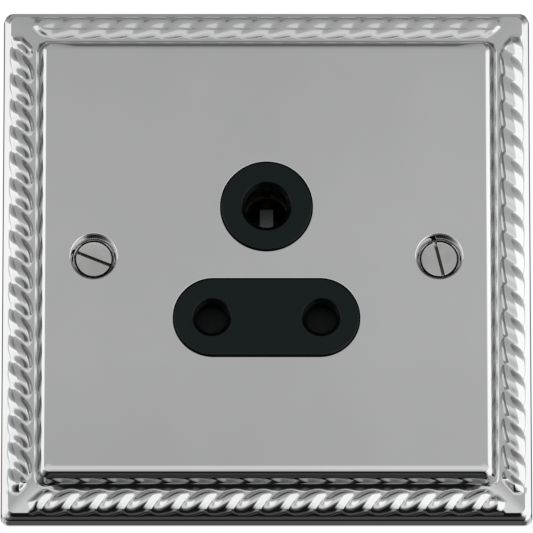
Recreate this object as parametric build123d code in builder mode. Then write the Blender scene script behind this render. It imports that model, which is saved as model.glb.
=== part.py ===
from build123d import *
import os
from math import cos, radians, sin, sqrt

# Round pin socket outlet, 5 A size, on a square rope-edged metal plate.
# Millimetres. The front faces -Y, +Z is up, +X is to the right as seen from
# the front. Y = 0 is the wall, and the origin is midway between the two
# fixing screws.

os.makedirs("parts", exist_ok=True)

# ---------------------------------------------------------------- plate
HALF = 46.3            # half the side of the square plate
CORNER_R = 1.5         # outer corner, seen from the front
EDGE_T = 3.0           # height of the plain outer edge above the wall
RISE = 9.0             # height of the flat centre above the wall
SHEET = 1.0            # thickness of the metal
GROOVE_F = 4.85        # height of the groove around the flat centre
STEP_FOOT = 39.95      # half width of the raised centre at the groove
STEP_TOP = 38.9        # half width of the raised centre before rounding
STEP_ROUND = 1.0       # rounding of the raised centre's edge
ROPE_IN_U, ROPE_IN_F = 40.6, 4.9       # inner foot of the rope
ROPE_OUT_U, ROPE_OUT_F = 45.1, 3.1     # outer foot of the rope
ROPE_SAG = 1.75        # how far the rope bulges from the line foot to foot
ROPE_PITCH = 4.76      # strand to strand, along the side
ROPE_LAY = 58.0        # slant of the strands against the side, degrees
ROPE_CUTS = 17         # grooves between strands on one side
SCREW_X = 30.15        # fixing screws at +/- this, 60.3 apart

# ---------------------------------------------------------------- pins
PIN_X = 9.525          # live and neutral at +/- this, 19.05 apart
PIN_Z = -11.03         # line through live and neutral
EARTH_Z = 9.05         # earth pin, 20.08 above that line
PIN_HOLE_R = 2.725
PIN_MOUTH_R = 3.45
EARTH_HOLE_R = 3.7
EARTH_MOUTH_R = 4.45

# ---------------------------------------------------------------- moulding
FACE_Y = -9.2          # bosses stand 0.2 proud of the plate
UNDER_Y = -(RISE - SHEET)
DECK_Y = -5.2          # back of the moulding's front wall
PART_Y = -1.6          # where front moulding and rear housing meet
BOSS_R = 7.95
SLOT_W, SLOT_H = 32.35, 13.85
APERTURE_GAP = 0.15
MOD_W, MOD_H, MOD_CZ = 46.0, 53.6, -2.2
MOD_R = 3.0
REAR_Y = 16.0
EAR_X = 12.0
EAR_TOP_Z, EAR_LOW_Z = 28.2, -32.6
HOUSING_SCREWS = [(-16.0, 18.2), (16.0, 18.2), (-9.5, -24.4), (9.5, -24.4)]

# ---------------------------------------------------------------- shutter
SHUTTER_TRAVEL = 5.7
BLADE_X = 14.0
BLADE_TOP, BLADE_LOW = -7.95, -14.1
BLADE_FRONT, BLADE_BACK = -5.0, -1.95
RIB_X = 1.15
SPRING_Y = -3.4
SPRING_R = 1.3         # to the middle of the wire
SPRING_WIRE = 0.18     # wire radius
SPRING_SEAT = -26.3

# ---------------------------------------------------------------- contacts
CONTACT_FRONT = -1.2
TAIL_Y0, TAIL_Y1 = 6.8, 8.0
BLOCK_Y1 = 14.6
BLOCK_X0, BLOCK_X1 = 13.4, 21.0
TERM_X = 17.2
WIRE_Y = 11.2
WIRE_R = 2.1
EARTH_TERM_Z = 18.2


def at(y):
    """Sketch plane seen from the front, at depth y; a sketch there has
    x to the right, y up, and is extruded towards the front."""
    return Plane.XZ.offset(-y)


def keep(builder, name):
    builder.part.label = name
    export_step(builder.part, f"parts/{name}.step")


# ================================================================ front plate
# one side of the rope border, the top one, running along X
chord_u, chord_f = ROPE_OUT_U - ROPE_IN_U, ROPE_OUT_F - ROPE_IN_F
chord = sqrt(chord_u**2 + chord_f**2)
t_u, t_f = chord_u / chord, chord_f / chord      # outwards along the chord
n_u, n_f = -t_f, t_u                             # out of the border
mid_u, mid_f = (ROPE_IN_U + ROPE_OUT_U) / 2, (ROPE_IN_F + ROPE_OUT_F) / 2
crown_u, crown_f = mid_u + n_u * ROPE_SAG, mid_f + n_f * ROPE_SAG
lay = radians(ROPE_LAY)
lay_dir = (cos(lay), -sin(lay) * t_f, sin(lay) * t_u)   # along a strand
rope_n = (0.0, -n_f, n_u)
CUT_MAJOR, CUT_MINOR, CUT_DEPTH = 3.6, 1.0, 0.75

with BuildPart() as rope_side:
    with BuildSketch(Plane.YZ.offset(-HALF)):
        with BuildLine():
            ThreePointArc((-ROPE_IN_F, ROPE_IN_U), (-crown_f, crown_u), (-ROPE_OUT_F, ROPE_OUT_U))
            Polyline(
                (-ROPE_OUT_F, ROPE_OUT_U),
                (-ROPE_OUT_F + 0.8, ROPE_OUT_U - 0.3),
                (-ROPE_IN_F + 1.3, ROPE_IN_U + 0.2),
                (-ROPE_IN_F, ROPE_IN_U),
            )
        make_face()
    extrude(amount=2 * HALF)
    # the grooves between the strands
    for i in range(ROPE_CUTS):
        x = (i - (ROPE_CUTS - 1) / 2) * ROPE_PITCH
        lift = CUT_MAJOR + CUT_DEPTH - CUT_MINOR
        centre = (x, -(crown_f - n_f * lift), crown_u - n_u * lift)
        normal = Vector(*rope_n).cross(Vector(*lay_dir))
        with Locations(Plane(origin=centre, x_dir=lay_dir, z_dir=normal)):
            Torus(CUT_MAJOR, CUT_MINOR, mode=Mode.SUBTRACT)
    # mitred at both corners
    split(bisect_by=Plane(origin=(0, 0, 0), z_dir=(1, 0, -1)), keep=Keep.BOTTOM)
    split(bisect_by=Plane(origin=(0, 0, 0), z_dir=(-1, 0, -1)), keep=Keep.BOTTOM)

# the raised flat centre with its rounded edge
with BuildPart() as plateau:
    slope = (STEP_FOOT - STEP_TOP) / (RISE - GROOVE_F)
    with BuildSketch(at(-3.4)):
        w = STEP_FOOT + slope * (GROOVE_F - 3.4)
        RectangleRounded(2 * w, 2 * w, 1.9)
    with BuildSketch(at(-RISE)):
        RectangleRounded(2 * STEP_TOP, 2 * STEP_TOP, 2.9)
    loft(ruled=True)
    fillet(plateau.faces().sort_by(Axis.Y)[0].edges(), STEP_ROUND)

with BuildPart() as front_plate:
    # plain outer edge
    with BuildSketch(at(0)):
        RectangleRounded(2 * HALF, 2 * HALF, CORNER_R)
    extrude(amount=EDGE_T)
    fillet(front_plate.faces().sort_by(Axis.Y)[0].edges(), 0.45)
    # slope that carries the rope, up to the groove
    with BuildSketch(at(-EDGE_T + 0.2)):
        RectangleRounded(2 * ROPE_OUT_U, 2 * ROPE_OUT_U, 1.5)
    with BuildSketch(at(-GROOVE_F)):
        RectangleRounded(2 * (ROPE_IN_U + 0.1), 2 * (ROPE_IN_U + 0.1), 1.8)
    loft(ruled=True)
    add(plateau.part)
    for turn in range(4):
        add(rope_side.part.rotate(Axis.Y, 90 * turn))
    # hollow back, following the outside at the metal's thickness
    with BuildSketch(at(0)):
        RectangleRounded(2 * (HALF - 1.2), 2 * (HALF - 1.2), 0.8)
    extrude(amount=1.5, mode=Mode.SUBTRACT)
    with BuildSketch(at(-1.5)):
        RectangleRounded(2 * 44.2, 2 * 44.2, 0.9)
    with BuildSketch(at(-3.7)):
        RectangleRounded(2 * 40.0, 2 * 40.0, 1.2)
    loft(ruled=True, mode=Mode.SUBTRACT)
    with BuildSketch(at(-3.6)):
        RectangleRounded(2 * 38.6, 2 * 38.6, 1.3)
    with BuildSketch(at(-(RISE - SHEET))):
        RectangleRounded(2 * 37.8, 2 * 37.8, 1.8)
    loft(ruled=True, mode=Mode.SUBTRACT)
    # pressed cups that take the fixing screws' heads
    for sx in (-SCREW_X, SCREW_X):
        with BuildSketch(Plane.XY):
            with BuildLine():
                Polyline(
                    (sx, -8.4), (sx + 5.2, -8.4), (sx + 5.2, -7.9), (sx + 4.5, -6.9),
                    (sx + 3.35, -5.4), (sx + 3.0, -4.8), (sx, -4.8), (sx, -8.4),
                )
            make_face()
        revolve(axis=Axis((sx, 0, 0), (0, 1, 0)))
        with BuildSketch(Plane.XY):
            with BuildLine():
                TangentArc((sx + 4.55, -9.01), (sx + 3.72, -8.3), tangent=(-1, 0))
                Polyline(
                    (sx + 3.72, -8.3), (sx + 3.28, -7.33), (sx + 3.28, -7.08),
                    (sx + 1.95, -5.75), (sx + 1.95, -4.0), (sx, -4.0), (sx, -9.6),
                    (sx + 4.55, -9.6), (sx + 4.55, -9.01),
                )
            make_face()
        revolve(axis=Axis((sx, 0, 0), (0, 1, 0)), mode=Mode.SUBTRACT)
    # the two apertures
    with BuildSketch(at(-RISE + 2)):
        with Locations((0, EARTH_Z)):
            Circle(BOSS_R + APERTURE_GAP)
        with Locations((0, PIN_Z)):
            SlotOverall(SLOT_W + 2 * APERTURE_GAP, SLOT_H + 2 * APERTURE_GAP)
    extrude(amount=4, mode=Mode.SUBTRACT)
keep(front_plate, "front_plate")

# ================================================================ studs and nuts
STUDS = [(-EAR_X, EAR_TOP_Z), (EAR_X, EAR_TOP_Z), (-EAR_X, EAR_LOW_Z), (EAR_X, EAR_LOW_Z)]
with BuildPart() as plate_studs:
    with BuildSketch(at(-1.8)):
        with Locations(*STUDS):
            Circle(1.5)
    extrude(amount=-1.8 - UNDER_Y)
    chamfer(plate_studs.faces().group_by(Axis.Y)[-1].edges(), 0.3)
keep(plate_studs, "plate_studs")

with BuildPart() as stud_nuts:
    with BuildSketch(at(DECK_Y + 2.4)):
        with Locations(*STUDS):
            RegularPolygon(5.5 / 2, 6, major_radius=False)
            Circle(1.54, mode=Mode.SUBTRACT)
    extrude(amount=2.4)
keep(stud_nuts, "stud_nuts")

EARTH_STUD_Z = 29.6
STRAP_T = 0.6
with BuildPart() as earth_stud:
    with BuildSketch(at(-3.2)):
        with Locations((0, EARTH_STUD_Z)):
            Circle(1.75)
    extrude(amount=-3.2 - UNDER_Y)
    chamfer(earth_stud.faces().sort_by(Axis.Y)[-1].edges(), 0.3)
keep(earth_stud, "earth_stud")

with BuildPart() as earth_nut:
    with BuildSketch(at(UNDER_Y + STRAP_T + 2.4)):
        with Locations((0, EARTH_STUD_Z)):
            RegularPolygon(6.0 / 2, 6, major_radius=False)
            Circle(1.79, mode=Mode.SUBTRACT)
    extrude(amount=2.4)
keep(earth_nut, "earth_nut")

# ================================================================ front moulding
with BuildPart() as front_moulding:
    with BuildSketch(at(PART_Y)):
        with Locations((0, MOD_CZ)):
            RectangleRounded(MOD_W, MOD_H, MOD_R)
    extrude(amount=PART_Y - UNDER_Y)
    # ears that sit on the studs
    with BuildSketch(at(DECK_Y)):
        for ex, ez, inner in ((-EAR_X, EAR_TOP_Z, 22), (EAR_X, EAR_TOP_Z, 22),
                              (-EAR_X, EAR_LOW_Z, -26), (EAR_X, EAR_LOW_Z, -26)):
            with Locations((ex, (ez + inner) / 2)):
                Rectangle(7.2, abs(ez - inner))
            with Locations((ex, ez)):
                Circle(3.6)
    extrude(amount=DECK_Y - UNDER_Y)
    with BuildSketch(at(DECK_Y)):
        with Locations(*STUDS):
            Circle(1.65)
    extrude(amount=DECK_Y - UNDER_Y, mode=Mode.SUBTRACT)
    # the shell behind the front wall, with the shutter's guides left standing
    with BuildSketch(at(PART_Y)):
        with Locations((0, MOD_CZ)):
            RectangleRounded(MOD_W - 3.6, MOD_H - 3.6, MOD_R - 1.6)
        with Locations((0, -17.05)):
            Rectangle(31.8, 22.3, mode=Mode.SUBTRACT)
        with Locations((0, -1)):
            Rectangle(9.8, 12, mode=Mode.SUBTRACT)
        with Locations((0, EARTH_Z)):
            Circle(5.9, mode=Mode.SUBTRACT)
        with Locations(*HOUSING_SCREWS):
            Circle(3.1, mode=Mode.SUBTRACT)
    extrude(amount=PART_Y - DECK_Y, mode=Mode.SUBTRACT)
    # chamber of the shutter: blade, neck, rib and spring
    with BuildSketch(at(PART_Y)):
        with Locations((0, (-20.1 - 7.7) / 2)):
            Rectangle(2 * (BLADE_X + 0.3), 12.4)
        with Locations((0, (SPRING_SEAT - 20) / 2)):
            Rectangle(4.2, abs(SPRING_SEAT + 20))
        with Locations((0, -1.0)):
            Rectangle(6.6, 14.0)
        with Locations((0, 7.0)):
            Rectangle(2 * (RIB_X + 0.3), 9.2)
    extrude(amount=PART_Y - DECK_Y, mode=Mode.SUBTRACT)
    # the bosses that stand through the plate
    with BuildSketch(at(UNDER_Y)):
        with Locations((0, EARTH_Z)):
            Circle(BOSS_R)
        with Locations((0, PIN_Z)):
            SlotOverall(SLOT_W, SLOT_H)
    extrude(amount=UNDER_Y - FACE_Y)
    fillet(front_moulding.faces().group_by(Axis.Y)[0].edges(), 0.3)
    # pin holes with their funnel mouths
    for hx, hz, hole, mouth in ((-PIN_X, PIN_Z, PIN_HOLE_R, PIN_MOUTH_R), (PIN_X, PIN_Z, PIN_HOLE_R, PIN_MOUTH_R),
                                (0, EARTH_Z, EARTH_HOLE_R, EARTH_MOUTH_R)):
        with BuildSketch(at(DECK_Y)):
            with Locations((hx, hz)):
                Circle(hole)
        extrude(amount=DECK_Y - FACE_Y, mode=Mode.SUBTRACT)
        with BuildSketch(at(FACE_Y + (mouth - hole))):
            with Locations((hx, hz)):
                Circle(hole)
        with BuildSketch(at(FACE_Y)):
            with Locations((hx, hz)):
                Circle(mouth)
        loft(ruled=True, mode=Mode.SUBTRACT)
    # the earth hole is wider behind the front wall, for the contact's lead-in
    with BuildSketch(at(PART_Y)):
        with Locations((0, EARTH_Z)):
            Circle(EARTH_HOLE_R + 0.5)
    extrude(amount=PART_Y - DECK_Y, mode=Mode.SUBTRACT)
    # pilot holes of the housing screws
    with BuildSketch(at(PART_Y)):
        with Locations(*HOUSING_SCREWS):
            Circle(1.42)
    extrude(amount=4.6, mode=Mode.SUBTRACT)
keep(front_moulding, "front_moulding")

# ================================================================ shutter and spring
with BuildPart() as shutter:
    with BuildSketch(at(BLADE_BACK)):
        with Locations((0, (BLADE_TOP + BLADE_LOW) / 2)):
            RectangleRounded(2 * BLADE_X, BLADE_TOP - BLADE_LOW, 0.8)
        with Locations((0, (BLADE_TOP - 1 + 4.4) / 2)):
            Rectangle(6.0, 4.4 - BLADE_TOP + 1)
    extrude(amount=BLADE_BACK - BLADE_FRONT)
    # the rib, whose 45 degree ramp the earth pin rides down
    with BuildSketch(Plane.YZ.offset(-RIB_X)):
        with BuildLine():
            Polyline(
                (-4.95, 3.0), (-4.95, 5.4), (0.85, 11.2), (2.5, 11.2), (2.5, 4.2),
                (-1.95, 4.2), (-2.4, 3.0), (-4.95, 3.0),
            )
        make_face()
    extrude(amount=2 * RIB_X)
keep(shutter, "shutter")

spring_low, spring_high = SPRING_SEAT + SPRING_WIRE + 0.02, BLADE_LOW - SPRING_WIRE - 0.02
with BuildPart() as shutter_spring:
    with BuildLine(Plane(origin=(0, SPRING_Y, spring_low), z_dir=(0, 0, 1))):
        coil = Helix(pitch=(spring_high - spring_low) / 9, height=spring_high - spring_low, radius=SPRING_R)
    with BuildSketch(Plane(origin=coil @ 0, z_dir=coil % 0)):
        Circle(SPRING_WIRE)
    sweep(path=coil, is_frenet=True)
keep(shutter_spring, "shutter_spring")

# ================================================================ rear housing
with BuildPart() as rear_housing:
    with BuildSketch(at(REAR_Y)):
        with Locations((0, MOD_CZ)):
            RectangleRounded(MOD_W - 0.8, MOD_H - 0.8, MOD_R - 0.4)
    extrude(amount=REAR_Y - PART_Y)
    chamfer(rear_housing.faces().sort_by(Axis.Y)[-1].edges(), 0.8)
    # cut back at the upper left and right, beside the earth tower
    with BuildSketch(at(REAR_Y)):
        for sx in (-1, 1):
            with Locations((sx * 17.6, 4.6)):
                Rectangle(12.0, 16.4)
    extrude(amount=REAR_Y - 5.0, mode=Mode.SUBTRACT)
    # pockets open to the front, for the sleeves, tails and terminal blocks
    with BuildSketch(at(TAIL_Y0)):
        with Locations((-PIN_X, PIN_Z), (PIN_X, PIN_Z)):
            Circle(3.85)
    extrude(amount=TAIL_Y0 - PART_Y, mode=Mode.SUBTRACT)
    with BuildSketch(at(TAIL_Y1)):
        with Locations((-13.5, PIN_Z), (13.5, PIN_Z)):
            Rectangle(15.6, 5.6)
        with Locations((0, 17.3)):
            Rectangle(5.6, 9.0)
    extrude(amount=TAIL_Y1 - PART_Y, mode=Mode.SUBTRACT)
    with BuildSketch(at(BLOCK_Y1 + 0.1)):
        with Locations((-TERM_X, PIN_Z), (TERM_X, PIN_Z)):
            Rectangle(8.0, 9.4)
        with Locations((0, EARTH_TERM_Z)):
            Rectangle(8.0, 7.6)
    extrude(amount=BLOCK_Y1 + 0.1 - PART_Y, mode=Mode.SUBTRACT)
    with BuildSketch(at(12.6)):
        with Locations((0, EARTH_Z)):
            Circle(4.9)
    extrude(amount=12.6 - PART_Y, mode=Mode.SUBTRACT)
    # slot that the shutter's rib slides in
    with BuildSketch(at(3.0)):
        with Locations((0, 4.7)):
            Rectangle(2 * (RIB_X + 0.3), 14.0)
    extrude(amount=3.0 - PART_Y, mode=Mode.SUBTRACT)
    # screwdriver holes of the terminals, from the rear
    with BuildSketch(at(REAR_Y)):
        with Locations((-TERM_X, PIN_Z), (TERM_X, PIN_Z), (0, EARTH_TERM_Z)):
            Circle(2.95)
    extrude(amount=REAR_Y - BLOCK_Y1, mode=Mode.SUBTRACT)
    # wire channels, open to the rear and to the edge
    with BuildSketch(at(REAR_Y)):
        with Locations((-TERM_X, -22.5), (TERM_X, -22.5)):
            Rectangle(5.2, 14.2)
    extrude(amount=REAR_Y - 8.4, mode=Mode.SUBTRACT)
    with BuildSketch(at(REAR_Y)):
        with Locations((0, 23.5)):
            Rectangle(5.8, 3.4)
    extrude(amount=REAR_Y - 5.8, mode=Mode.SUBTRACT)
    # housing screws: clearance hole and deep counterbore
    with BuildSketch(at(REAR_Y)):
        with Locations(*HOUSING_SCREWS):
            Circle(1.6)
    extrude(amount=REAR_Y - PART_Y, mode=Mode.SUBTRACT)
    with BuildSketch(at(REAR_Y)):
        with Locations(*HOUSING_SCREWS):
            Circle(3.0)
    extrude(amount=REAR_Y - 9.0, mode=Mode.SUBTRACT)
keep(rear_housing, "rear_housing")

with BuildPart() as housing_screws:
    with BuildSketch(at(9.0)):
        with Locations(*HOUSING_SCREWS):
            Circle(1.4)
    extrude(amount=9.0 + 5.8)
    with BuildSketch(at(11.0)):
        with Locations(*HOUSING_SCREWS):
            Circle(2.75)
    extrude(amount=2.0)
    fillet(housing_screws.faces().group_by(Axis.Y)[-1].edges(), 0.4)
    with BuildSketch(at(11.0)):
        for (sx, sz), turn in zip(HOUSING_SCREWS, (20, 65, 110, -35)):
            with Locations(Location((sx, sz, 0), (0, 0, turn))):
                Rectangle(3.2, 0.7)
                Rectangle(0.7, 3.2)
    extrude(amount=1.3, mode=Mode.SUBTRACT)
keep(housing_screws, "housing_screws")


# ================================================================ live and neutral
def pin_contact(side):
    """Split sleeve for a live or neutral pin, with its tail."""
    with BuildPart() as contact:
        with BuildSketch(at(TAIL_Y0)):
            with Locations((side * PIN_X, PIN_Z)):
                Circle(3.45)
                Circle(2.6, mode=Mode.SUBTRACT)
        extrude(amount=TAIL_Y0 - CONTACT_FRONT)
        chamfer(contact.faces().sort_by(Axis.Y)[0].edges().sort_by(SortBy.RADIUS)[0], 0.35)
        with BuildSketch(at(4.8)):
            with Locations((side * PIN_X, PIN_Z)):
                Rectangle(1.0, 8.0)
        extrude(amount=4.8 - CONTACT_FRONT, mode=Mode.SUBTRACT)
        with BuildSketch(at(TAIL_Y1)):
            with Locations((side * (PIN_X - 3.45 + 20.9) / 2, PIN_Z)):
                Rectangle(20.9 - PIN_X + 3.45, 5.2)
        extrude(amount=TAIL_Y1 - TAIL_Y0)
        fillet(contact.edges().filter_by(Axis.Y).filter_by_position(Axis.X, side * 20.9 - 0.1, side * 20.9 + 0.1), 0.8)
    return contact


def pin_terminal(side):
    """Pillar terminal block with its wire hole and tapped screw hole."""
    with BuildPart() as block:
        with BuildSketch(at(BLOCK_Y1)):
            with Locations((side * TERM_X, PIN_Z)):
                RectangleRounded(BLOCK_X1 - BLOCK_X0, 9.0, 0.6)
        extrude(amount=BLOCK_Y1 - TAIL_Y1)
        with BuildSketch(Plane.XY.offset(PIN_Z - 5)):
            with Locations((side * TERM_X, WIRE_Y)):
                Circle(WIRE_R)
        extrude(amount=10, mode=Mode.SUBTRACT)
        with BuildSketch(at(BLOCK_Y1)):
            with Locations((side * TERM_X, PIN_Z)):
                Circle(1.65)
        extrude(amount=BLOCK_Y1 - WIRE_Y, mode=Mode.SUBTRACT)
    return block


def terminal_screw(x, z, turn):
    """Slotted terminal screw, its tip in the wire hole."""
    with BuildPart() as screw:
        with BuildSketch(at(BLOCK_Y1 + 0.1)):
            with Locations((x, z)):
                Circle(1.6)
        extrude(amount=BLOCK_Y1 + 0.1 - 10.6)
        with BuildSketch(at(REAR_Y + 0.2)):
            with Locations((x, z)):
                Circle(2.6)
        extrude(amount=REAR_Y + 0.2 - BLOCK_Y1 - 0.1)
        chamfer(screw.faces().sort_by(Axis.Y)[-1].edges(), 0.25)
        with BuildSketch(at(REAR_Y + 0.2)):
            with Locations(Location((x, z, 0), (0, 0, turn))):
                Rectangle(6.0, 0.8)
        extrude(amount=0.9, mode=Mode.SUBTRACT)
    return screw


neutral_contact = pin_contact(-1)
keep(neutral_contact, "neutral_contact")
live_contact = pin_contact(1)
keep(live_contact, "live_contact")
neutral_terminal = pin_terminal(-1)
keep(neutral_terminal, "neutral_terminal")
live_terminal = pin_terminal(1)
keep(live_terminal, "live_terminal")
neutral_terminal_screw = terminal_screw(-TERM_X, PIN_Z, 35)
keep(neutral_terminal_screw, "neutral_terminal_screw")
live_terminal_screw = terminal_screw(TERM_X, PIN_Z, -20)
keep(live_terminal_screw, "live_terminal_screw")
earth_terminal_screw = terminal_screw(0, EARTH_TERM_Z, 70)
keep(earth_terminal_screw, "earth_terminal_screw")

# ================================================================ earth
with BuildPart() as earth_contact:
    # sleeve, open at the bottom for the shutter's rib
    with BuildSketch(at(12.4)):
        with Locations((0, EARTH_Z)):
            Circle(4.55)
            Circle(3.65, mode=Mode.SUBTRACT)
        with Locations((0, EARTH_Z - 3.5)):
            Rectangle(3.2, 7.0, mode=Mode.SUBTRACT)
    extrude(amount=12.4 - CONTACT_FRONT)
    with BuildSketch(at(4.8)):
        with Locations((0, EARTH_Z + 4)):
            Rectangle(1.2, 4.0)
    extrude(amount=4.8 - CONTACT_FRONT, mode=Mode.SUBTRACT)
    # tail up to the terminal
    with BuildSketch(at(TAIL_Y1)):
        with Locations((0, (12.9 + 21.6) / 2)):
            Rectangle(5.2, 21.6 - 12.9)
    extrude(amount=TAIL_Y1 - TAIL_Y0)
keep(earth_contact, "earth_contact")

with BuildPart() as earth_terminal:
    with BuildSketch(at(BLOCK_Y1)):
        with Locations((0, EARTH_TERM_Z)):
            RectangleRounded(7.6, 7.2, 0.6)
    extrude(amount=BLOCK_Y1 - TAIL_Y1)
    with BuildSketch(Plane.XY.offset(EARTH_TERM_Z - 5)):
        with Locations((0, WIRE_Y)):
            Circle(WIRE_R)
    extrude(amount=10, mode=Mode.SUBTRACT)
    with BuildSketch(at(BLOCK_Y1)):
        with Locations((0, EARTH_TERM_Z)):
            Circle(1.65)
    extrude(amount=BLOCK_Y1 - WIRE_Y, mode=Mode.SUBTRACT)
keep(earth_terminal, "earth_terminal")

# bent strip from the earth terminal round to the plate
STRAP_Z = 25.2
with BuildPart() as earth_strap:
    with BuildSketch(Plane.YZ.offset(-2.4)):
        with BuildLine() as bend:
            Polyline(
                (TAIL_Y0 - STRAP_T, 15.0), (TAIL_Y0, 15.0), (TAIL_Y0, STRAP_Z + STRAP_T),
                (UNDER_Y + STRAP_T, STRAP_Z + STRAP_T), (UNDER_Y + STRAP_T, 32.9),
                (UNDER_Y, 32.9), (UNDER_Y, STRAP_Z), (TAIL_Y0 - STRAP_T, STRAP_Z),
                (TAIL_Y0 - STRAP_T, 15.0),
            )
        make_face()
    extrude(amount=4.8)
    fillet(earth_strap.edges().filter_by(Axis.X).filter_by_position(Axis.Y, TAIL_Y0 - 0.01, TAIL_Y0 + 0.01)
           .filter_by_position(Axis.Z, STRAP_Z, STRAP_Z + 1), 0.9)
    fillet(earth_strap.edges().filter_by(Axis.X).filter_by_position(Axis.Y, TAIL_Y0 - STRAP_T - 0.01, TAIL_Y0 - STRAP_T + 0.01)
           .filter_by_position(Axis.Z, STRAP_Z - 0.1, STRAP_Z + 0.1), 0.3)
    fillet(earth_strap.edges().filter_by(Axis.X).filter_by_position(Axis.Y, UNDER_Y - 0.01, UNDER_Y + 0.01)
           .filter_by_position(Axis.Z, STRAP_Z - 0.1, STRAP_Z + 0.1), 0.9)
    fillet(earth_strap.edges().filter_by(Axis.X).filter_by_position(Axis.Y, UNDER_Y + STRAP_T - 0.01, UNDER_Y + STRAP_T + 0.01)
           .filter_by_position(Axis.Z, STRAP_Z, STRAP_Z + 1), 0.3)
    with BuildSketch(at(0)):
        with Locations((0, EARTH_STUD_Z)):
            Circle(1.9)
    extrude(amount=10, mode=Mode.SUBTRACT)
keep(earth_strap, "earth_strap")


# ================================================================ fixing screws
def fixing_screw(x, turn):
    """M3.5 x 35 slotted countersunk screw, head in the plate's dished cup."""
    with BuildPart() as screw:
        with BuildSketch(Plane.XY):
            with BuildLine():
                Polyline(
                    (x, -7.33), (x + 3.0, -7.33), (x + 3.2, -7.18), (x + 3.2, -7.05), (x + 1.55, -5.4),
                    (x + 1.55, -3.6), (x + 1.75, -3.4), (x + 1.75, 27.0), (x + 1.2, 27.7), (x, 27.7), (x, -7.33),
                )
            make_face()
        revolve(axis=Axis((x, 0, 0), (0, 1, 0)))
        with BuildSketch(at(-7.33 + 0.9)):
            with Locations(Location((x, 0, 0), (0, 0, turn))):
                Rectangle(7.0, 0.78)
        extrude(amount=2.0, mode=Mode.SUBTRACT)
    return screw


fixing_screw_left = fixing_screw(-SCREW_X, -22)
keep(fixing_screw_left, "fixing_screw_left")
fixing_screw_right = fixing_screw(SCREW_X, -76)
keep(fixing_screw_right, "fixing_screw_right")
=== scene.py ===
import math
from math import cos, sin, pi, sqrt, radians

import bpy
import bmesh
from mathutils import Vector, Matrix
from mathutils.geometry import delaunay_2d_cdt


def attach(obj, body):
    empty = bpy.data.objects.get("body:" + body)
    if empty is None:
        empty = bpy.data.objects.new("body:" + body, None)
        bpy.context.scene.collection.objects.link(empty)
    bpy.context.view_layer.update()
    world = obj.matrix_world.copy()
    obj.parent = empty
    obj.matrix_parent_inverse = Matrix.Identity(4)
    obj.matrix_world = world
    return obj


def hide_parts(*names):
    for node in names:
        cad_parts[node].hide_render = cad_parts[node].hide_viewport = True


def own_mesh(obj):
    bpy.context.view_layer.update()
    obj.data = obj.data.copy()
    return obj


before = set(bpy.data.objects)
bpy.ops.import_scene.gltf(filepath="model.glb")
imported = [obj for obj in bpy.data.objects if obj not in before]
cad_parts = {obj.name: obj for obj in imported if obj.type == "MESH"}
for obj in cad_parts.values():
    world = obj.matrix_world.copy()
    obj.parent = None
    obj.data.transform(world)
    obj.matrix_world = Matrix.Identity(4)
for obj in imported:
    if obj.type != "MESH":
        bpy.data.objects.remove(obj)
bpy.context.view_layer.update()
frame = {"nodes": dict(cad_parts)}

MM = 0.001

# ------------------------------------------------------------------ sizes, mm
HALF = 46.3
RISE = 9.0
SCREW_X = 30.15
PIN_X, PIN_Z = 9.525, -11.03
EARTH_Z = 9.05
BOSS_R = 7.95
SLOT_W, SLOT_H = 32.35, 13.85
GAP = 0.15
FACE_Y = -9.2

# the rope border: where its crown is, the radius of its section towards the middle and towards
# the edge of the plate, how far it reaches round and how deep the strands are laid
ROPE_U, CROWN_F = 42.6, 5.75
ROPE_R_IN, ROPE_R_OUT = 2.15, 2.6
ROPE_FROM, ROPE_TO = 88.0, -66.0
PITCH = 4.76
LAY = 1.35
LOBE = 0.95


# ------------------------------------------------------------------ materials
def new_mat(name):
    m = bpy.data.materials.new(name)
    m.use_nodes = True
    nt = m.node_tree
    b = nt.nodes["Principled BSDF"]
    return m, nt, b


def link(nt, a, b):
    nt.links.new(a, b)


def obj_coord(nt, scale=(1, 1, 1), rot=(0, 0, 0)):
    tc = nt.nodes.new("ShaderNodeTexCoord")
    mp = nt.nodes.new("ShaderNodeMapping")
    mp.inputs["Scale"].default_value = scale
    mp.inputs["Rotation"].default_value = rot
    link(nt, tc.outputs["Object"], mp.inputs["Vector"])
    return mp.outputs["Vector"]


def noise(nt, vec, scale, detail=3.0, rough=0.5):
    n = nt.nodes.new("ShaderNodeTexNoise")
    n.inputs["Scale"].default_value = scale
    n.inputs["Detail"].default_value = detail
    n.inputs["Roughness"].default_value = rough
    link(nt, vec, n.inputs["Vector"])
    return n.outputs["Fac"]


def ramp(nt, fac, stops):
    r = nt.nodes.new("ShaderNodeValToRGB")
    el = r.color_ramp.elements
    while len(el) < len(stops):
        el.new(0.5)
    for e, (p, c) in zip(el, stops):
        e.position = p
        e.color = (c, c, c, 1) if not isinstance(c, (tuple, list)) else (*c, 1)
    link(nt, fac, r.inputs["Fac"])
    return r.outputs["Color"]


def bump(nt, height, strength, distance):
    b = nt.nodes.new("ShaderNodeBump")
    b.inputs["Strength"].default_value = strength
    b.inputs["Distance"].default_value = distance
    link(nt, height, b.inputs["Height"])
    return b.outputs["Normal"]


def axis_ramp(nt, vec, axis, lo, hi, stops, absolute=False):
    """Grey ramp along one axis of the part, between lo and hi in metres."""
    sep = nt.nodes.new("ShaderNodeSeparateXYZ")
    link(nt, vec, sep.inputs[0])
    mr = nt.nodes.new("ShaderNodeMapRange")
    mr.inputs["From Min"].default_value = lo
    mr.inputs["From Max"].default_value = hi
    link(nt, sep.outputs[axis], mr.inputs["Value"])
    return ramp(nt, mr.outputs["Result"], stops)


def vmath(nt, op, a, b_):
    n = nt.nodes.new("ShaderNodeVectorMath")
    n.operation = op
    link(nt, a, n.inputs[0])
    if b_ is not None:
        link(nt, b_, n.inputs[1])
    return n.outputs["Vector"]


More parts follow.
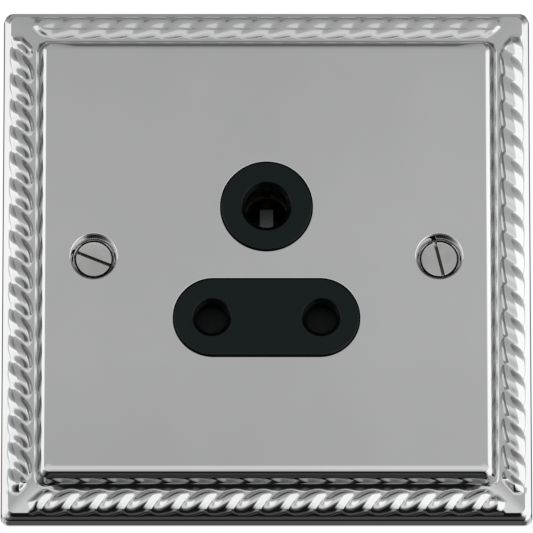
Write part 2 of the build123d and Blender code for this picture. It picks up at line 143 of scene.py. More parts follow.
def smath(nt, op, a, b_=None, clamp=False):
    n = nt.nodes.new("ShaderNodeMath")
    n.operation = op
    n.use_clamp = clamp
    for i, x in enumerate((a, b_)):
        if x is None:
            continue
        if isinstance(x, (int, float)):
            n.inputs[i].default_value = x
        else:
            link(nt, x, n.inputs[i])
    return n.outputs[0]


def chrome_mat():
    """Polished plating: fine brushing left by the mop and cloudy tone, with painted reflection shade: darker towards
    the top and bottom, lighter to the right, and a step wall painted darker as shade in its recess."""
    m, nt, b = new_mat("polished_chrome")
    b.inputs["Metallic"].default_value = 1.0
    fine = noise(nt, obj_coord(nt, (1, 1, 0.12)), 900.0, 4.0, 0.6)
    cloud = noise(nt, obj_coord(nt), 60.0, 3.0, 0.55)
    v = obj_coord(nt)
    tone = ramp(nt, cloud, [(0.3, (0.612, 0.615, 0.617)), (0.7, (0.638, 0.640, 0.641))])
    # painted reflection shade: the plating is painted darker towards the top and bottom and lighter towards the right,
    # standing in for how a bowed plate would reflect the studio
    tone = vmath(nt, "MULTIPLY", tone, axis_ramp(nt, v, 2, -0.040, 0.040, [(0.0, 0.955), (0.12, 0.97), (0.28, 1.0), (0.5, 1.0), (0.78, 0.98), (1.0, 0.935)]))
    tone = vmath(nt, "MULTIPLY", tone, axis_ramp(nt, v, 0, -0.040, 0.040, [(0.0, 0.975), (0.5, 0.975), (0.9, 1.03), (1.0, 1.03)]))
    # painted shade: the step wall, a square band round the raised middle, is painted darker as if shaded in its recess
    sep = nt.nodes.new("ShaderNodeSeparateXYZ")
    link(nt, v, sep.inputs[0])
    h = smath(nt, "MAXIMUM", smath(nt, "ABSOLUTE", sep.outputs[0]), smath(nt, "ABSOLUTE", sep.outputs[2]))
    up = nt.nodes.new("ShaderNodeMapRange")
    up.interpolation_type = "SMOOTHSTEP"
    up.inputs["From Min"].default_value = 0.03902
    up.inputs["From Max"].default_value = 0.03918
    link(nt, h, up.inputs["Value"])
    dn = nt.nodes.new("ShaderNodeMapRange")
    dn.interpolation_type = "SMOOTHSTEP"
    dn.inputs["From Min"].default_value = 0.03996
    dn.inputs["From Max"].default_value = 0.04006
    dn.inputs["To Min"].default_value = 1.0
    dn.inputs["To Max"].default_value = 0.0
    link(nt, h, dn.inputs["Value"])
    painted_wall_shade = smath(nt, "MULTIPLY", up.outputs["Result"], dn.outputs["Result"])
    # painted shade: on the step wall the plating's colour drops to 0.55
    tone = vmath(nt, "MULTIPLY", tone, ramp(nt, painted_wall_shade, [(0.0, 1.0), (1.0, 0.55)]))
    link(nt, tone, b.inputs["Base Color"])
    link(nt, ramp(nt, fine, [(0.3, 0.015), (0.75, 0.045)]), b.inputs["Roughness"])
    return m


def plastic_mat(name, colour, rough, grain=1600.0, strength=0.12, spec=0.5):
    m, nt, b = new_mat(name)
    v = obj_coord(nt)
    n = noise(nt, v, grain, 4.0, 0.6)
    c = noise(nt, v, 90.0, 2.0, 0.5)
    lo = tuple(x * 0.86 for x in colour)
    hi = tuple(x * 1.12 for x in colour)
    link(nt, ramp(nt, c, [(0.3, lo), (0.7, hi)]), b.inputs["Base Color"])
    link(nt, ramp(nt, n, [(0.3, rough * 0.85), (0.7, rough * 1.2)]), b.inputs["Roughness"])
    link(nt, bump(nt, n, strength, 0.00003), b.inputs["Normal"])
    b.inputs["Specular IOR Level"].default_value = spec
    return m


def shutter_mat(name):
    """Grey moulding with painted light and shade: painted dark low down, where it sits in shadow, and paler on its
    upper rib, where it catches light.
    """
    m, nt, b = new_mat(name)
    v = obj_coord(nt)
    sep = nt.nodes.new("ShaderNodeSeparateXYZ")
    link(nt, v, sep.inputs[0])
    mr = nt.nodes.new("ShaderNodeMapRange")
    mr.inputs["From Min"].default_value = -0.004
    mr.inputs["From Max"].default_value = 0.004
    link(nt, sep.outputs[2], mr.inputs["Value"])
    grain = noise(nt, v, 900.0, 4.0, 0.6)
    streak = noise(nt, obj_coord(nt, (1, 1, 0.15)), 1500.0, 2.0, 0.5)
    # painted shade: the dark colour low down, where the shutter lies in shade behind the pin openings
    low = ramp(nt, streak, [(0.3, (0.0022, 0.0032, 0.0040)), (0.7, (0.0034, 0.0046, 0.0056))])
    # painted light: the pale colour of the upper rib, lit through the earth opening
    high = ramp(nt, streak, [(0.3, (0.280, 0.305, 0.300)), (0.7, (0.350, 0.375, 0.365))])
    # painted light: the rib is painted paler, most at its foot and at the start of the ramp, where it catches light
    high = vmath(nt, "MULTIPLY", high, axis_ramp(nt, v, 2, 0.0030, 0.0054, [(0.0, 1.15), (1.0, 0.82)]))
    high = vmath(nt, "MULTIPLY", high, axis_ramp(nt, v, 1, -0.00494, -0.0034, [(0.0, 1.0), (0.02, 2.3), (1.0, 0.8)]))
    mx = nt.nodes.new("ShaderNodeMix")
    mx.data_type = "RGBA"
    link(nt, mr.outputs["Result"], mx.inputs["Factor"])
    link(nt, low, mx.inputs[6])
    link(nt, high, mx.inputs[7])
    link(nt, mx.outputs[2], b.inputs["Base Color"])
    link(nt, ramp(nt, grain, [(0.3, 0.40), (0.7, 0.55)]), b.inputs["Roughness"])
    link(nt, bump(nt, grain, 0.2, 0.00003), b.inputs["Normal"])
    b.inputs["Specular IOR Level"].default_value = 0.15
    # the specular level follows the same split, lower in the painted shade low down
    link(nt, ramp(nt, mr.outputs["Result"], [(0.0, 0.13), (1.0, 0.32)]), b.inputs["Specular IOR Level"])
    return m


def metal_mat(name, colour, rough, stretch=(1, 1, 1), scale=700.0, strength=0.15):
    m, nt, b = new_mat(name)
    b.inputs["Metallic"].default_value = 1.0
    v = obj_coord(nt, stretch)
    n = noise(nt, v, scale, 5.0, 0.65)
    c = noise(nt, obj_coord(nt), 140.0, 3.0, 0.6)
    lo = tuple(x * 0.82 for x in colour)
    hi = tuple(min(1.0, x * 1.08) for x in colour)
    link(nt, ramp(nt, c, [(0.3, lo), (0.7, hi)]), b.inputs["Base Color"])
    link(nt, ramp(nt, n, [(0.25, rough * 0.75), (0.75, rough * 1.3)]), b.inputs["Roughness"])
    link(nt, bump(nt, n, strength, 0.00002), b.inputs["Normal"])
    return m


CHROME = chrome_mat()
SCREW_BRIGHT = metal_mat("bright_screw", (0.545, 0.545, 0.54), 0.16, (1, 1, 1), 1500.0, 0.1)
# painted shade: the slot's wall and floor are painted dark instead of the bright screw metal
SCREW_SLOT = metal_mat("screw_slot_painted_shade", (0.075, 0.072, 0.07), 0.4, (1, 1, 1), 1500.0, 0.2)
BLACK = plastic_mat("black_moulding", (0.0004, 0.0046, 0.0048), 0.2, 1600.0, 0.06, spec=0.2)


def paint_recess_shade(m, y_face, depth):
    """Painted shade: inside the pin openings the moulding is painted darker than on its face, with a lower specular
    level.
    """
    nt = m.node_tree
    b = nt.nodes["Principled BSDF"]
    sep = nt.nodes.new("ShaderNodeSeparateXYZ")
    link(nt, obj_coord(nt), sep.inputs[0])
    mr = nt.nodes.new("ShaderNodeMapRange")
    mr.interpolation_type = "SMOOTHSTEP"
    mr.inputs["From Min"].default_value = y_face
    mr.inputs["From Max"].default_value = y_face + depth
    link(nt, sep.outputs[1], mr.inputs["Value"])
    old = b.inputs["Base Color"].links[0].from_socket
    mx = nt.nodes.new("ShaderNodeMix")
    mx.data_type = "RGBA"
    link(nt, mr.outputs["Result"], mx.inputs["Factor"])
    link(nt, old, mx.inputs[6])
    # painted shade colour for the inside of the openings
    link(nt, ramp(nt, noise(nt, obj_coord(nt), 1200.0), [(0.3, (0.0012, 0.0014, 0.0014)), (0.7, (0.0022, 0.0026, 0.0026))]), mx.inputs[7])
    link(nt, mx.outputs[2], b.inputs["Base Color"])
    link(nt, ramp(nt, mr.outputs["Result"], [(0.0, 0.2), (1.0, 0.035)]), b.inputs["Specular IOR Level"])


# painted shade inside the pin openings of the front moulding
paint_recess_shade(BLACK, -0.00917, 0.00016)
BLACK_REAR = plastic_mat("black_rear_moulding", (0.013, 0.0145, 0.015), 0.42, 1100.0, 0.25)
SHUTTER = shutter_mat("shutter_plastic")
BRASS = metal_mat("brass_strip", (0.80, 0.58, 0.27), 0.26, (1, 6, 1), 500.0, 0.2)
# painted shade: the earth contact's brass is painted nearly black, standing in for the shade deep in the earth opening
BRASS_DARK = metal_mat("brass_painted_shade", (0.050, 0.040, 0.024), 0.42, (1, 6, 1), 500.0, 0.2)
BRASS_BLOCK = metal_mat("brass_bar", (0.76, 0.56, 0.28), 0.32, (5, 1, 1), 600.0, 0.3)
ZINC = metal_mat("zinc_plate", (0.66, 0.67, 0.69), 0.3, (1, 1, 1), 900.0, 0.2)
WIRE = metal_mat("spring_wire", (0.55, 0.55, 0.56), 0.25, (1, 1, 6), 900.0, 0.15)


def set_mat(node, m):
    o = frame["nodes"][node] if isinstance(frame["nodes"], dict) else bpy.data.objects[node]
    if isinstance(o, str):
        o = bpy.data.objects[o]
    for s in o.material_slots:
        s.material = m
    return o


# ------------------------------------------------------------------ mesh helper
class Build:
    def __init__(self):
        self.v, self.f = [], []

    def add(self, pts):
        i = len(self.v)
        self.v.extend(pts)
        return list(range(i, i + len(pts)))

    def bridge(self, a, b, flip=False):
        n = len(a)
        for i in range(n):
            j = (i + 1) % n
            q = (a[i], a[j], b[j], b[i])
            self.f.append(q[::-1] if flip else q)

    def rings(self, loops, flip=False):
        for a, b in zip(loops, loops[1:]):
            self.bridge(a, b, flip)

    def fill(self, outer, holes, flip=False, axes=(0, 2)):
        """Triangles between an outer loop and hole loops, all in one plane."""
        ids = list(outer)
        loops = [list(range(len(outer)))]
        for h in holes:
            loops.append(list(range(len(ids), len(ids) + len(h))))
            ids += list(h)
        p2 = [Vector((self.v[i][axes[0]] * 1000, self.v[i][axes[1]] * 1000)) for i in ids]
        edges = [(lp[k], lp[(k + 1) % len(lp)]) for lp in loops for k in range(len(lp))]
        vs, es, fs, ov, oe, of_ = delaunay_2d_cdt(p2, edges, [], 1, 1e-7)
        back = [o[0] if o else None for o in ov]
        if None in back:
            raise ValueError("an outline crosses itself or another one")
        outline = [p2[k] for k in loops[0]]
        hole_pts = [[p2[k] for k in lp] for lp in loops[1:]]
        for tri in fs:
            cx = sum(vs[k].x for k in tri) / 3
            cy = sum(vs[k].y for k in tri) / 3
            if not inside(cx, cy, outline) or any(inside(cx, cy, h) for h in hole_pts):
                continue
            t = [ids[back[k]] for k in tri]
            a, b, c = (p2[back[k]] for k in tri)
            area = (b.x - a.x) * (c.y - a.y) - (b.y - a.y) * (c.x - a.x)
            if area < 0:
                t.reverse()
            self.f.append(tuple(t[::-1] if flip else t))

    def make(self, name, mats, smooth=True):
        me = bpy.data.meshes.new(name)
        me.from_pydata([tuple(c * 1.0 for c in p) for p in self.v], [], self.f)
        me.validate()
        me.update()
        for m in mats:
            me.materials.append(m)
        if smooth:
            me.polygons.foreach_set("use_smooth", [True] * len(me.polygons))
        o = bpy.data.objects.new(name, me)
        bpy.context.scene.collection.objects.link(o)
        return o


def inside(x, y, poly):
    c = False
    n = len(poly)
    j = n - 1
    for i in range(n):
        yi, yj = poly[i].y, poly[j].y
        if (yi > y) != (yj > y):
            if x < (poly[j].x - poly[i].x) * (y - yi) / (yj - yi) + poly[i].x:
                c = not c
        j = i
    return c


def smooth01(t):
    t = max(0.0, min(1.0, t))
    return t * t * (3 - 2 * t)


def P(x, f, z):
    """A point given as right, out from the wall and up, in mm."""
    return (x * MM, -f * MM, z * MM)


def circle(cx, cz, r, f, n=96, start=0.0):
    return [P(cx + r * sin(start + 2 * pi * i / n), f, cz + r * cos(start + 2 * pi * i / n)) for i in range(n)]


def stadium(cx, cz, w, h, f, n=48):
    """Clockwise from the front, starting at the top of the right-hand end."""
    r = h / 2
    d = w / 2 - r
    pts = [P(cx + d + r * sin(pi * i / n), f, cz + r * cos(pi * i / n)) for i in range(n + 1)]
    pts += [P(cx - d - r * sin(pi * i / n), f, cz - r * cos(pi * i / n)) for i in range(n + 1)]
    return pts


# ------------------------------------------------------------------ front plate
# columns along one side: the middle ones follow the strands
STEPS = 14
L0 = 40.0
COLS = [-L0 + i * PITCH / STEPS for i in range(int(2 * L0 / (PITCH / STEPS)) + 1)]
_shift = (2 * L0 - (COLS[-1] - COLS[0])) / 2
COLS = [c + _shift for c in COLS]
CORNER = 8
PHASE = [-0.15, 0.0, 0.116, 0.015]     # top, right, bottom, left
DEPTH = [0.5, 0.58, 0.95, 1.0]


def lobe(t, power=0.68):
    """Height over one strand, 0 in the groove and 1 on its crown."""
    return (0.5 - 0.5 * cos(2 * pi * t)) ** power


def strand_shift(beta):
    return LAY * beta


BASE = [(38.0, 4.85), (41.4, 4.85), (42.0, 4.8), (42.6, 4.55), (43.2, 4.1), (43.8, 3.65), (44.3, 3.42), (44.9, 3.20), (45.3, 3.02), (47.0, 2.6)]


def base(u):
    for (u0, f0), (u1, f1) in zip(BASE, BASE[1:]):
        if u <= u1:
            return f0 + (f1 - f0) * (u - u0) / (u1 - u0)
    return BASE[-1][1]


def low_floor(u):
    """Along the lower side the groove's floor runs up to the step wall in one sweep."""
    t = 41.3 - u
    if t <= 0:
        return base(u)
    return 4.85 + (t * t if t < 0.3 else 0.09 + 0.6 * (t - 0.3) + 0.12 * (t - 0.3) ** 2)


def pad(u):
    """The flat, slightly falling ground in the four corners, where the strands end."""
    return 4.85 - 0.11 * max(0.0, u - 40.6)


def rope_point(beta, sink):
    """A point of the rope's section, sunk below its outline."""
    r = ROPE_R_OUT if beta > 0 else ROPE_R_IN
    return ROPE_U + (r - sink) * sin(beta), CROWN_F - r + (r - sink) * cos(beta)


def over(a, b, e=0.12):
    return 0.5 * (a + b + sqrt((a - b) ** 2 + e * e))


def turn(q, x, u, f):
    for _ in range(q):
        x, u = u, -x
    return P(x, f, u)


def ring(a, r, f, beta=None, shift=0.0, near=30.0, top=None):
    """A rounded square loop of half width a, corner radius r, height f.
    With beta it is a row of the rope, at that angle round its section; top gives
    the row's half width and height along the upper side."""
    pts = []
    straight = a - r
    for q in range(4):
        for x0 in COLS:
            w = 1.0 - smooth01((abs(x0) - near) / (L0 - near))
            x = x0 + shift * w
            edge = smooth01((abs(x0) - 27.0) / (L0 - 27.0))
            x += (straight - abs(COLS[0])) * edge * (1 if x0 > 0 else -1)
            uu, ff = a, f
            if top is not None and q == 0:
                k = 1.0 - smooth01((abs(x) - 33.0) / 5.0)
                uu, ff = a + (top[0] - a) * k, f + (top[1] - f) * k
            if beta is None and q == 2 and 40.0 < uu < 41.4:
                ff = max(ff, 4.85 + (low_floor(uu) - 4.85) * (1.0 - smooth01((abs(x) - 35.0) / 4.5)))
            if beta is not None:
                psi = (x - strand_shift(beta)) / PITCH + PHASE[q]
                amp = 1.0 - smooth01((abs(x) - 39.8) / 1.9)
                deg = math.degrees(beta)
                depth = LOBE * DEPTH[q] * (0.74 + 0.26 * smooth01((deg + 62.0) / 50.0)) * (1.0 - 0.5 * smooth01((deg - 18.0) / 45.0))
                if q == 1:
                    # on the right the strands deepen downwards
                    depth *= 0.74 + 0.46 * smooth01((x + 15.0) / 52.0)
                power = 0.46 + 0.24 * smooth01((deg + 55.0) / 60.0)
                uu, ff = rope_point(beta, depth * (1.0 - lobe(psi, power)) * amp + 0.25 * (1 - amp))
                if q == 0:
                    # worn flatter along the top
                    g = 0.42
                    drop = (1 - g) * (CROWN_F - 4.85)
                    ff = 4.85 + (ff - 4.85) * g if beta < 0 and ff > 4.85 else ff - drop * (1.0 - smooth01((uu - ROPE_U) / 2.3))
                floor_f = base(uu)
                if q == 2 and uu < 41.4:
                    floor_f += (low_floor(uu) - floor_f) * (1.0 - smooth01((abs(x) - 35.0) / 4.5))
                ff = over(ff, floor_f, 0.12 + 0.42 * smooth01((deg - 25.0) / 40.0))
                ff += (pad(uu) - ff) * smooth01((abs(x) - min(41.6, straight) + 1.6) / 1.6)
            pts.append(turn(q, x, uu, ff))
        for c in range(1, CORNER):
            th = pi / 2 * c / CORNER
            pts.append(turn(q, straight + r * sin(th), straight + r * cos(th), f))
    return pts


def build_plate():
    b = Build()
    loops = []

    def add(a, r, f, **kw):
        loops.append(b.add(ring(a, r, f, **kw)))

    sh_out = strand_shift(radians(ROPE_FROM))
    sh_in = strand_shift(radians(ROPE_TO))
    # back of the plate, from its flat underside out to the rear rim
    for a, r, f in ((37.2, 1.6, 8.0), (37.5, 1.8, 8.0), (37.85, 2.0, 7.75), (37.95, 2.0, 7.4), (38.65, 1.9, 4.2),
                    (38.95, 1.8, 3.75), (39.6, 1.6, 3.6), (40.3, 1.5, 3.45), (43.9, 1.2, 1.75), (44.6, 1.1, 1.5),
                    (45.0, 1.0, 1.1), (45.1, 1.0, 0.6), (45.12, 1.0, 0.1), (45.2, 1.0, 0.0), (45.6, 1.2, 0.0)):
        add(a, r, f)
    # rear rim and outer edge
    for a, r, f in ((46.1, 1.4, 0.0), (46.25, 1.45, 0.04), (46.3, 1.5, 0.16), (46.27, 1.5, 0.6), (46.2, 1.5, 1.3), (46.12, 1.5, 2.0), (46.06, 1.5, 2.48)):
        add(a, r, f, shift=sh_out * (1 if a < 46.29 and f > 0.1 else 0.0) * min(1.0, f / 1.0))
    for i in range(5):
        t = radians(10 + 13.5 * i)
        add(45.76 + 0.3 * cos(t), 1.5, 2.56 + 0.3 * sin(t), shift=sh_out)
    add(45.84, 1.45, 2.87, shift=sh_out)
    add(45.6, 1.4, 2.99, shift=sh_out)
    add(45.38, 1.35, 3.11, shift=sh_out)
    add(45.22, 1.3, 3.20, shift=sh_out)
    # the rope
    n = 32
    for i in range(n + 1):
        be = radians(ROPE_FROM + (ROPE_TO - ROPE_FROM) * i / n)
        uc, fc = rope_point(be, 0.25)
        add(uc, 1.0 + 0.8 * i / n, pad(uc), beta=be, shift=strand_shift(be))
    # groove, step wall, rounded shoulder
    for a, r, f in ((40.56, 2.0, 4.85), (40.48, 2.0, 4.858), (40.40, 2.0, 4.89), (40.32, 2.0, 4.95), (40.25, 2.0, 5.04), (40.18, 1.98, 5.17),
                    (40.12, 1.95, 5.34), (40.06, 1.92, 5.58), (39.98, 1.9, 5.88), (39.87, 1.8, 6.25), (39.73, 1.7, 6.7), (39.57, 1.55, 7.2),
                    (39.44, 1.45, 7.55), (39.30, 1.35, 7.84), (39.12, 1.25, 8.18)):
        k = 1.0 - max(0.0, f - 5.6) / 4.0
        lift = max(0.0, f - 5.88) / 2.3
        top = (39.98 - 0.76 * lift, 5.88 + 1.70 * lift) if lift > 0 else None
        add(a, r, f, shift=sh_in * k, near=20.0 + 10.0 * k, top=top)
    tops = ((39.08, 7.92), (38.94, 8.07), (38.79, 8.22), (38.62, 8.39), (38.45, 8.56), (38.28, 8.72), (38.12, 8.85), (37.94, 8.945), (37.7, 8.99), (37.4, 9.0))
    for i, (t, ra) in enumerate(((60.0, 0.5), (50.0, 0.5), (40.0, 0.5), (31.0, 0.5), (24.0, 0.5), (19.0, 3.3), (14.0, 3.3), (10.0, 3.3), (6.0, 3.3), (2.5, 3.3))):
        t = radians(t)
        if ra < 1:
            u1, f1 = 38.63 + 0.5 * (sin(t) - sin(radians(20))), 8.80 - 0.5 * (cos(radians(20)) - cos(t))
        else:
            u1, f1 = 37.50 + 3.3 * sin(t), 9.0 - 3.3 * (1 - cos(t))
        add(u1, 0.95 + 0.3 * sin(t), f1, shift=sh_in * (0.34 - 0.034 * i), near=20.0, top=tops[i])
    add(37.5, 0.95, 9.0, top=(37.1, 9.0))
    add(37.35, 0.95, 9.0, top=(36.95, 9.0))
    b.rings(loops)

    back_loop, front_loop = loops[0], loops[-1]
    front_holes, back_holes = [], []

    # apertures: slightly rounded at the front, plain at the back
    def aperture(make):
        rows = [b.add(make(o, f)) for o, f in ((0.24, 9.0), (0.13, 9.0), (0.08, 8.99), (0.035, 8.965), (0.008, 8.92), (0.0, 8.86),
                                               (0.0, 8.5), (0.0, 8.05), (0.05, 8.0), (0.2, 8.0))]
        b.rings(rows)
        front_holes.append(rows[0])
        back_holes.append(rows[-1])

    aperture(lambda o, f: circle(0, EARTH_Z, BOSS_R + GAP + o, f, 144))
    aperture(lambda o, f: stadium(0, PIN_Z, SLOT_W + 2 * (GAP + o), SLOT_H + 2 * (GAP + o), f, 60))

    # dished screw cups
    def cup(cx):
        prof = [(4.36, 9.0), (4.27, 9.0), (4.21, 8.993), (4.14, 8.965), (4.07, 8.90), (4.0, 8.80), (3.94, 8.67),
                (3.88, 8.50), (3.82, 8.3), (3.75, 8.05), (3.66, 7.8), (3.57, 7.55), (3.48, 7.3), (3.42, 7.05), (3.36, 6.9), (3.22, 6.78),
                (3.02, 6.62), (1.98, 5.6), (1.9, 5.5), (1.9, 4.95), (2.0, 4.8), (2.5, 4.8), (2.95, 4.82), (3.1, 4.9), (3.35, 5.35),
                (4.45, 6.9), (4.75, 7.5), (4.95, 7.85), (5.25, 7.98), (5.5, 8.0), (5.7, 8.0)]
        rows = [b.add(circle(cx, 0.0, r, f, 96)) for r, f in prof]
        b.rings(rows)
        front_holes.append(rows[0])
        back_holes.append(rows[-1])

    cup(-SCREW_X)
    cup(SCREW_X)
    b.fill(front_loop, front_holes, flip=False)
    b.fill(back_loop, back_holes, flip=True)
    return b


b = build_plate()
plate = b.make("plate_polished", [CHROME])
bm = bmesh.new()
bm.from_mesh(plate.data)
bmesh.ops.recalc_face_normals(bm, faces=bm.faces)
bm.to_mesh(plate.data)
bm.free()
plate.data.update()
BODY = "socket"
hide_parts("front_plate")
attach(plate, BODY)
print("plate tris", sum(len(p.vertices) - 2 for p in plate.data.polygons))

# ------------------------------------------------------------------ fixing screws
SLOT_HALF = 0.28
THREAD = 0.6


def screw(name, node, cx, turn_deg):
    """Slotted screw with a raised edge to its head, a cone under it and a cut thread."""
    b = Build()
    mats = []
    ca, sa = cos(radians(turn_deg)), sin(radians(turn_deg))

    def q(s, t, f):
        return P(cx + s * ca - t * sa, f, s * sa + t * ca)

    def half(r, f, sign, n=44):
        a0 = math.asin(SLOT_HALF / r)
        out = []
        for i in range(n + 1):
            a = a0 + (pi - 2 * a0) * i / n
            out.append(q(sign * r * cos(a), sign * r * sin(a), f))
        return out

    rows = [(2.72, 7.315), (2.84, 7.32), (2.94, 7.33), (3.0, 7.33), (3.06, 7.305), (3.1, 7.26), (3.12, 7.2), (3.12, 7.12),
            (3.1, 7.05), (2.78, 6.73), (2.5, 6.45)]
    ends = {}
    for sign in (1, -1):
        loops = [b.add(half(r, f, sign)) for r, f in rows]
        ends[sign] = loops
        b.f.append(tuple(loops[0]))
        mats.append(0)
        for lo, hi in zip(loops, loops[1:]):
            for i in range(len(lo) - 1):
                b.f.append((lo[i], lo[i + 1], hi[i + 1], hi[i]))
                mats.append(0)
        # the slot's wall on this side, painted dark as shade
        wall = [lp[0] for lp in loops] + [lp[-1] for lp in reversed(loops)]
        b.f.append(tuple(wall))
        mats.append(1)
    # the slot's floor, painted dark as shade, and the full ring under it
    r1, f1 = rows[-1]
    a0 = math.asin(SLOT_HALF / r1)
    gap_r = b.add([q(r1 * cos(a), r1 * sin(a), f1) for a in (-a0 / 2, 0.0, a0 / 2)])
    gap_l = b.add([q(-r1 * cos(a), -r1 * sin(a), f1) for a in (-a0 / 2, 0.0, a0 / 2)])
    up, dn = ends[1][-1], ends[-1][-1]
    ring_ = up + gap_l + dn + gap_r
    b.f.append(tuple([up[0]] + gap_r[::-1] + [dn[-1], dn[0]] + gap_l[::-1] + [up[-1]]))
    mats.append(1)
    angles = [math.atan2(b.v[i][2] * 1000, b.v[i][0] * 1000 - cx) for i in ring_]
    prev = ring_

    def full(r, f):
        return b.add([P(cx + r * cos(a), f, r * sin(a)) for a in angles])

    for r, f in ((1.62, 5.52), (1.55, 5.4), (1.55, 5.1), (1.55, 3.7)):
        new = full(r, f)
        b.bridge(prev, new)
        mats += [0] * len(new)
        prev = new
    # thread: fewer columns, joined by a flat collar
    cols = 28
    col = [2 * pi * i / cols for i in range(cols)]

    def thr(f, k):
        pts = []
        for a in col:
            t = (f / THREAD + a / (2 * pi)) % 1.0
            h = min(1.0, max(0.0, 1.9 * (1 - abs(2 * t - 1)) - 0.3))
            pts.append(P(cx + (1.5 + 0.24 * h * k) * cos(a), f, (1.5 + 0.24 * h * k) * sin(a)))
        return b.add(pts)

    start = b.add([P(cx + 1.5 * cos(a), 3.72, 1.5 * sin(a)) for a in col])
    b.f.append(tuple(start))
    mats.append(0)
    b.f.append(tuple(prev))
    mats.append(0)
    last = start
    f = 3.5
    while f > -27.05:
        k = min(1.0, (3.5 - f) / 1.0, (f + 27.2) / 0.8)
        new = thr(f, k)
        b.bridge(last, new)
        mats += [0] * cols
        last = new
        f -= THREAD / 7
    for r, f in ((1.42, -27.3), (1.2, -27.6), (1.05, -27.68)):
        new = b.add([P(cx + r * cos(a), f, r * sin(a)) for a in col])
        b.bridge(last, new)
        mats += [0] * cols
        last = new
    b.f.append(tuple(last))
    mats.append(0)
    o = b.make(name, [SCREW_BRIGHT, SCREW_SLOT])
    for pl, m in zip(o.data.polygons, mats):
        pl.material_index = m
        if m == 1 or len(pl.vertices) > 20:
            pl.use_smooth = False
    bm = bmesh.new()
    bm.from_mesh(o.data)
    bmesh.ops.recalc_face_normals(bm, faces=bm.faces)
    bm.to_mesh(o.data)
    bm.free()
    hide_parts(node)
    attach(o, BODY)
    return o


screw("screw_left", "fixing_screw_left", -SCREW_X, -22.0)
screw("screw_right", "fixing_screw_right", SCREW_X, -76.0)

# ------------------------------------------------------------------ shutter spring
SPRING_Y, SPRING_R, SPRING_WIRE = -3.4, 1.3, 0.18
SPRING_LOW, SPRING_HIGH = -26.1, -14.3


def spring():
    """Round wire wound in nine turns, with the first and the last closed up."""
    b = Build()
    turns, per, sides = 9.0, 26, 8
    closed = 2 * SPRING_WIRE + 0.04
    middle = (SPRING_HIGH - SPRING_LOW - 2 * closed) / (turns - 2)

    def height(t):
        if t < 1:
            return SPRING_LOW + closed * t
        if t > turns - 1:
            return SPRING_HIGH - closed * (turns - t)
        return SPRING_LOW + closed + middle * (t - 1)

    loops = []
    for i in range(int(turns * per) + 1):
        t = i / per
        a = 2 * pi * t
        c = Vector((SPRING_R * cos(a), SPRING_Y + SPRING_R * sin(a), height(t)))
        out = Vector((cos(a), sin(a), 0.0))
        rise = (height(min(turns, t + 0.01)) - height(max(0.0, t - 0.01))) / (min(turns, t + 0.01) - max(0.0, t - 0.01))
        along = Vector((-sin(a) * 2 * pi * SPRING_R, cos(a) * 2 * pi * SPRING_R, rise)).normalized()
        side_ = along.cross(out)
        loops.append(b.add([tuple((c + SPRING_WIRE * (out * cos(2 * pi * k / sides) + side_ * sin(2 * pi * k / sides))) * MM)
                            for k in range(sides)]))
    b.rings(loops)
    b.f.append(tuple(loops[0]))
    b.f.append(tuple(loops[-1]))
    o = b.make("spring_coil", [WIRE])
    for pl in o.data.polygons:
        if len(pl.vertices) > 4:
            pl.use_smooth = False
    bm = bmesh.new()
    bm.from_mesh(o.data)
    bmesh.ops.recalc_face_normals(bm, faces=bm.faces)
    bm.to_mesh(o.data)
    bm.free()
    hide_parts("shutter_spring")
    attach(o, BODY)
    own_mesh(o)


spring()

# ------------------------------------------------------------------ carried-over pieces
for n, m in (("fixing_screw_left", SCREW_BRIGHT), ("fixing_screw_right", SCREW_BRIGHT), ("front_moulding", BLACK),
             ("rear_housing", BLACK_REAR), ("shutter", SHUTTER), ("shutter_spring", WIRE), ("live_contact", BRASS),
             ("neutral_contact", BRASS), ("earth_contact", BRASS_DARK), ("live_terminal", BRASS_BLOCK),
             ("neutral_terminal", BRASS_BLOCK), ("earth_terminal", BRASS_BLOCK), ("earth_strap", BRASS),
             ("live_terminal_screw", ZINC), ("neutral_terminal_screw", ZINC), ("earth_terminal_screw", ZINC),
             ("housing_screws", ZINC), ("plate_studs", ZINC), ("stud_nuts", ZINC), ("earth_stud", ZINC), ("earth_nut", ZINC)):
    set_mat(n, m)

# ------------------------------------------------------------------ studio
scene = bpy.context.scene
scene.view_settings.view_transform = "Standard"
scene.view_settings.look = "None"

world = bpy.data.worlds.new("studio")
scene.world = world
world.use_nodes = True
wt = world.node_tree
wt.nodes.clear()
w_out = wt.nodes.new("ShaderNodeOutputWorld")
w_bg = wt.nodes.new("ShaderNodeBackground")
w_white = wt.nodes.new("ShaderNodeBackground")
w_white.inputs["Color"].default_value = (1, 1, 1, 1)
w_white.inputs["Strength"].default_value = 1.0
w_mix = wt.nodes.new("ShaderNodeMixShader")
w_lp = wt.nodes.new("ShaderNodeLightPath")
w_tc = wt.nodes.new("ShaderNodeTexCoord")
w_sep = wt.nodes.new("ShaderNodeSeparateXYZ")
wt.links.new(w_tc.outputs["Generated"], w_sep.inputs[0])


def wmath(op, a, b_=None, clamp=False):
    n = wt.nodes.new("ShaderNodeMath")
    n.operation = op
    n.use_clamp = clamp
    for i, x in enumerate((a, b_)):
        if x is None:
            continue
        if isinstance(x, (int, float)):
            n.inputs[i].default_value = x
        else:
            wt.links.new(x, n.inputs[i])
    return n.outputs[0]


def wstep(x, lo, hi):
    n = wt.nodes.new("ShaderNodeMapRange")
    n.interpolation_type = "SMOOTHSTEP"
    n.inputs["From Min"].default_value = lo
    n.inputs["From Max"].default_value = hi
    wt.links.new(x, n.inputs["Value"])
    return n.outputs["Result"]


